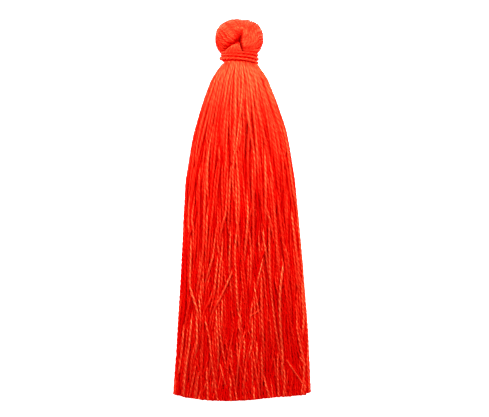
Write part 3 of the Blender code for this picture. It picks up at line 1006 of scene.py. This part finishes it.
# %% Cores of the ball and the skirt
def packed_core(name, rows):
    """A closed tube through rows of points, with a cap at each end."""
    rows_of, columns_of = rows.shape[:2]
    mesh = bpy.data.meshes.new(name)
    faces = []
    for row in range(rows_of - 1):
        for column in range(columns_of):
            beside = (column + 1) % columns_of
            faces.append((
                row * columns_of + column, row * columns_of + beside,
                (row + 1) * columns_of + beside, (row + 1) * columns_of + column,
            ))
    faces.append(tuple(range(columns_of))[::-1])
    faces.append(tuple((rows_of - 1) * columns_of + column for column in range(columns_of)))
    mesh.from_pydata((rows.reshape(-1, 3) * MM).tolist(), [], faces)
    corner_of = np.empty(len(mesh.loops), dtype=np.int32)
    mesh.loops.foreach_get("vertex_index", corner_of)
    up, around = np.divmod(corner_of, columns_of)
    place = np.stack([around / columns_of, up / (rows_of - 1)], 1)
    for title, values in (
        ("OFBake", place), ("Ply", place * [24, 12]), ("Lot", 0 * place + [0.3, 0.5]),
    ):
        layer = mesh.uv_layers.new(name=title, do_init=False)
        layer.uv.foreach_set("vector", values.astype(np.float32).ravel())
    mesh.polygons.foreach_set("use_smooth", [True] * len(mesh.polygons))
    mesh.materials.append(shaded_inner_silk)
    piece = bpy.data.objects.new(name, mesh)
    bpy.context.scene.collection.objects.link(piece)
    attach(piece, "root")
    print(name, len(mesh.polygons), "faces")
    return piece


CORE_SINK = 0.95
CORE_ASIDE = 0.9
CORE_LIFT = 0.35
CORE_HEIGHT = 0.45
CORE_COLUMNS = 32
core = packed_core("ball_core", on_ball(np.array([
    [toward(heading, latitude) for heading in np.arange(0, 360, 3)]
    for latitude in np.linspace(-54.4, 86, 60)
]), CORE_SINK))

round_core = np.arange(CORE_COLUMNS) * TAU / CORE_COLUMNS
skirt_rows = []
for height in np.arange(30.5, -38.6, -1.5):
    centre, half_width = section_at(height)[:2]
    core_x = centre + (half_width - CORE_ASIDE) * np.cos(round_core)
    core_low, core_high = floor_and_roof(core_x, height)
    risen = (0.5 + 0.5 * np.sin(round_core)) * (core_high - core_low) * CORE_HEIGHT
    core_z = core_low + CORE_LIFT + risen
    skirt_rows.append(np.stack([core_x, 0 * core_x + height, core_z], 1))
skirt_core = packed_core("skirt_core", np.array(skirt_rows))
for piece in skirt + [ball_inner, ball, core, skirt_core]:
    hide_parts("thread_hank")

# %% [markdown]
# ## The binding
# The same thread, taken double, is wound round the neck nearly three times and pulled tight. Its
# turns climb from lower right to upper left, the top turn lies broad and soft over the one below,
# and the last turn stands free as a round beaded cord. A few plain turns lie hidden under them, so
# that nothing shows between. Each row of WINDING gives the turn, its height, how far it stands off
# the middle of the neck, and its own radius.

# %% Wind the binding
WINDING = (
    (-0.25, 32.70, 3.45, 0.20),
    (0.00, 32.66, 3.66, 0.27), (0.25, 32.34, 3.68, 0.29), (0.50, 32.16, 3.72, 0.28),
    (0.75, 32.10, 3.68, 0.27), (1.00, 32.12, 3.70, 0.24), (1.25, 31.72, 3.72, 0.25),
    (1.50, 31.34, 3.76, 0.31), (1.75, 31.50, 3.74, 0.31), (2.00, 31.46, 3.86, 0.38),
    (2.25, 31.03, 3.82, 0.28), (2.50, 30.53, 3.80, 0.24), (2.75, 30.90, 3.66, 0.22),
)
BINDING_STEP = 0.16
BINDING_PITCH = 1.8
FIRST_LAYER = 3.38
HIDDEN_TURNS = 4.5

binding = Skein("binding_turns", binding_silk, "silk_binding")


def winding(first, last):
    """Points round the neck, with turns counted from the left over the front, and their radii."""
    count = int((last - first) * 90) + 2
    turns = np.linspace(first, last, count)
    knots = np.array(WINDING)
    height, reach, thick = (
        smooth_through(-knots[:, 0], knots[:, k:k + 1], -turns)[:, 0] for k in (1, 2, 3))
    heading = (turns - 0.25) * TAU
    points = [reach * np.sin(heading) + BALL_X, height, reach * np.cos(heading) + BALL_Z]
    return np.stack(points, 1), thick


# The hidden first turns take tint 0, the deep red that stands for shade.
under_turns = np.linspace(0, HIDDEN_TURNS * TAU, 400)
lay(binding, np.stack([
    FIRST_LAYER * np.sin(under_turns) + BALL_X,
    32.35 - 1.75 * under_turns / under_turns[-1] - 0.12 * np.sin(under_turns),
    FIRST_LAYER * np.cos(under_turns) + BALL_Z,
], 1), [0.2, 0.24, 0.24, 0.2], (0.0, 0.3), 0.08, BINDING_PITCH, 2 * BINDING_STEP)
soft_turns, soft_thick = winding(-0.22, 1.80)
lay(binding, soft_turns, soft_thick, (0.6, 0.1), 0.08, BINDING_PITCH, BINDING_STEP)
last_turn, last_thick = winding(1.70, 2.72)
lay(binding, last_turn, last_thick, (0.7, 0.2), 0.2, BINDING_PITCH, BINDING_STEP)
turns = binding.build()

# %% [markdown]
# The tail comes out of the foot of the eye, spreads into a fan, and is caught under the first turn.
# It lies in two layers, so that the fan is closed where its strands part. Each row gives the
# height, the middle, half the width, and how far the strands stand off the middle of the neck.

# %% Spread the tail
TAIL = np.array([
    (34.35, -0.62, 0.10, 3.00),
    (34.05, -0.72, 0.22, 3.90),
    (33.70, -1.05, 0.60, 4.15),
    (33.20, -1.40, 1.02, 4.12),
    (32.70, -1.62, 1.45, 4.00),
    (32.25, -1.64, 1.50, 3.65),
    (31.60, -1.55, 1.40, 3.30),
])
TAIL_STRANDS = 9
TAIL_LAYER = 0.42
tail = Skein("binding_tail", binding_silk, "silk_binding")
tail_at = np.linspace(TAIL[0, 0], TAIL[-1, 0], 40)
tail_rows = [smooth_through(TAIL[:, 0], TAIL[:, k:k + 1], tail_at)[:, 0] for k in range(1, 4)]
for strand in range(2 * TAIL_STRANDS):
    layer, place = divmod(strand, TAIL_STRANDS)
    spot = 2 * place / (TAIL_STRANDS - 1) - 1
    strand_x = tail_rows[0] + tail_rows[1] * spot
    reach = tail_rows[2] - 0.10 * abs(spot) + head_rng.uniform(-0.03, 0.05) - TAIL_LAYER * layer
    strand_z = BALL_Z + np.sqrt(reach**2 - (strand_x - BALL_X) ** 2)
    path = np.stack([strand_x, tail_at, strand_z], 1)
    tint = 0.85 - 0.25 * (strand % 2)
    lay(tail, path, [0.14, 0.2, 0.22, 0.2], (tint, head_rng.uniform(0, 1)), 0.10)
tail_piece = tail.build()
for piece in (turns, tail_piece):
    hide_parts("neck_wrap")

# %% [markdown]
# ## Strays
# A few threads have slipped out of their locks near the loose end and lie across the others. They
# rest on what is under them and go back among the threads at both ends.

# %% Lay the strays
STRAYS = (
    ((9.3, -31.3), (11.5, -34.6), (13.7, -37.7)),
    ((12.2, -30.9), (12.8, -31.8), (13.3, -32.7)),
    ((1.9, -22.2), (2.8, -21.6), (3.8, -20.9)),
    ((-4.6, -32.0), (-3.9, -34.6), (-3.1, -37.4)),
    ((0.0, -25.5), (-0.6, -31.5), (-1.1, -37.6)),
)
STRAY_LIFT = 0.18
STRAY_POINTS = 40
stray_threads = Skein("stray_threads", skirt_silk, "silk_thread")


def pile_top(px, py):
    """Height of the highest thread surface near a spot."""
    ring = int(np.clip((rings[0] - py) / RING_STEP, 0, len(rings) - 1))
    gap = np.abs(path_x[ring] - px)
    close = gap < 0.30
    tops = path_z[ring][close] + np.sqrt(0.26**2 - np.minimum(gap[close], 0.25) ** 2)
    return float(tops.max()) if close.any() else 0.0


for first, via, last in STRAYS:
    t = np.linspace(0, 1, STRAY_POINTS)[:, None]
    through = 2 * np.array(via) - (np.array(first) + np.array(last)) / 2
    flat_way = np.array(first) * (1 - t) ** 2 + through * 2 * t * (1 - t) + np.array(last) * t * t
    tops = np.array([pile_top(px, py) for px, py in flat_way])
    for _ in range(6):
        tops[1:-1] = np.maximum(tops[1:-1], (tops[:-2] + tops[2:]) / 2)
    ends_down = 0.5 * (1 - np.sin(np.clip(t[:, 0], 0, 1) * math.pi)) ** 2
    heights = tops + STRAY_LIFT - ends_down
    path = np.concatenate([flat_way, heights[:, None]], 1)
    lay(stray_threads, path, [0.15, 0.20, 0.20, 0.15], (1.0, rng.uniform(0, 1)))
strays = stray_threads.build()
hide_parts("thread_hank")

# %% [markdown]
# ## Table and light
# One very large soft lamp hangs overhead, a little toward the ball. Two small ones graze the ball
# from its sides. The room is bright at the level of the table and dim above. The table is matt
# white, and it also glows a little, which washes out its shadows and leaves the ground pure white.
#
# The view is the plain Standard one with some more contrast, because the softer default turns a
# strong red pale. That choice belongs to this scene and does not travel with the model.

# %% Table, lamps and room
table_mesh = bpy.data.meshes.new("table")
TABLE_HALF = 3.0
table_corners = [(TABLE_HALF * i, TABLE_HALF * j, 0) for i, j in ((-1, -1), (1, -1), (1, 1), (-1, 1))]
table_mesh.from_pydata(table_corners, [], [(0, 1, 2, 3)])
table_recipe = Recipe("table_white")
table_shader = table_recipe.node("ShaderNodeBsdfPrincipled", None, {
    "Base Color": (1.0, 1.0, 1.0, 1), "Roughness": 0.9, "Specular IOR Level": 0.1,
})
table_glow = table_recipe.node("ShaderNodeEmission", None, {"Color": (1, 1, 1, 1), "Strength": 0.9})
table_lit = table_recipe.node("ShaderNodeAddShader", None, {0: table_shader, 1: table_glow})
table_mesh.materials.append(table_recipe.finish(table_lit))
table = bpy.data.objects.new("table", table_mesh)
bpy.context.scene.collection.objects.link(table)
table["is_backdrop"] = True


def soft_lamp(name, place, aim, size, power, spread=180):
    """A rectangular soft box; size is its two sides, and spread is how wide its grid lets go."""
    data = bpy.data.lights.new(name, "AREA")
    data.shape = "RECTANGLE"
    data.size, data.size_y = size
    data.energy = power
    data.spread = math.radians(spread)
    lamp = bpy.data.objects.new(name, data)
    lamp.location = place
    lamp.rotation_mode = "QUATERNION"
    lamp.rotation_quaternion = (Vector(aim) - Vector(place)).to_track_quat("-Z", "Y")
    bpy.context.scene.collection.objects.link(lamp)
    return lamp


soft_lamp("overhead_lamp", (0.0, 0.075, 0.27), (0, 0, 0), (0.20, 0.20), 0.84)
for side_name, side_x in (("left_ball_lamp", -0.13), ("right_ball_lamp", 0.13)):
    soft_lamp(side_name, (side_x, 0.07, 0.08), (0, 0.036, 0.004), (0.06, 0.06), 0.005, 30)

room_recipe = Recipe("pale_room", "World")
room_way = room_recipe.node("ShaderNodeTexCoord")
room_up = room_recipe.node("ShaderNodeSeparateXYZ", None, {0: room_way}, output=2)
room_light = room_recipe.node("ShaderNodeValToRGB", {"stops": (
    (0.00, (1.0, 1.0, 1.0)), (0.12, (0.85, 0.85, 0.85)), (0.36, (0.10, 0.10, 0.10)),
    (1.00, (0.06, 0.06, 0.06)),
)}, {0: room_recipe.math("ABSOLUTE", room_up)})
room_glow = room_recipe.node("ShaderNodeBackground", None, {"Color": room_light})
bpy.context.scene.world = room_recipe.finish(room_glow)
bpy.context.scene.view_settings.view_transform = "Standard"
bpy.context.scene.view_settings.look = "Medium High Contrast"
bpy.context.scene.cycles.diffuse_bounces = 10
bpy.context.scene.cycles.glossy_bounces = 8

# %% [markdown]
# ## Sizes, and the end
# The frame's box and the dressed tassel's box are written side by side, because thread that grew
# past its solid would no longer fit what carries it.

# %% Compare the boxes and finish
dressed_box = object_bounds()
sizes = {
    "cad": [[float(v) for v in corner] for corner in cad_box],
    "dressed": [[float(v) for v in corner] for corner in dressed_box],
}
for name, (lowest, highest) in sizes.items():
    print(name, [round((b - a) / MM, 2) for a, b in zip(lowest, highest)], "mm")
